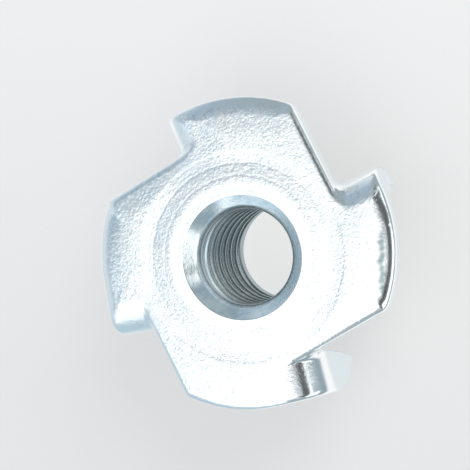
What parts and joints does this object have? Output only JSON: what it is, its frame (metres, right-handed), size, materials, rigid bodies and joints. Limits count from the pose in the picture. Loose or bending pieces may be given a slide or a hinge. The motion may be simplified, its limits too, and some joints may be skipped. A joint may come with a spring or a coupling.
{
  "type": "tee nut",
  "caption": "Pressed steel tee nut: a threaded barrel under a lobed flange whose bent-down prongs bite into wood, so a bolt can be tightened from the other side.",
  "frame": {"origin": "on the bore's axis, in the plane of the barrel's open end", "axes": "+Z along the bore's axis from the barrel's open end to the flange face; +X and +Y along the middle lines of two lobes"},
  "size_m": [0.022, 0.0219, 0.011],
  "materials": {
    "zinc_plate": "bright blue-white zinc plating on pressed steel sheet, satin with fine draw wrinkles"
  },
  "bodies": {
    "root": {"tee_nut": "zinc_plate"}
  },
  "joints": []
}
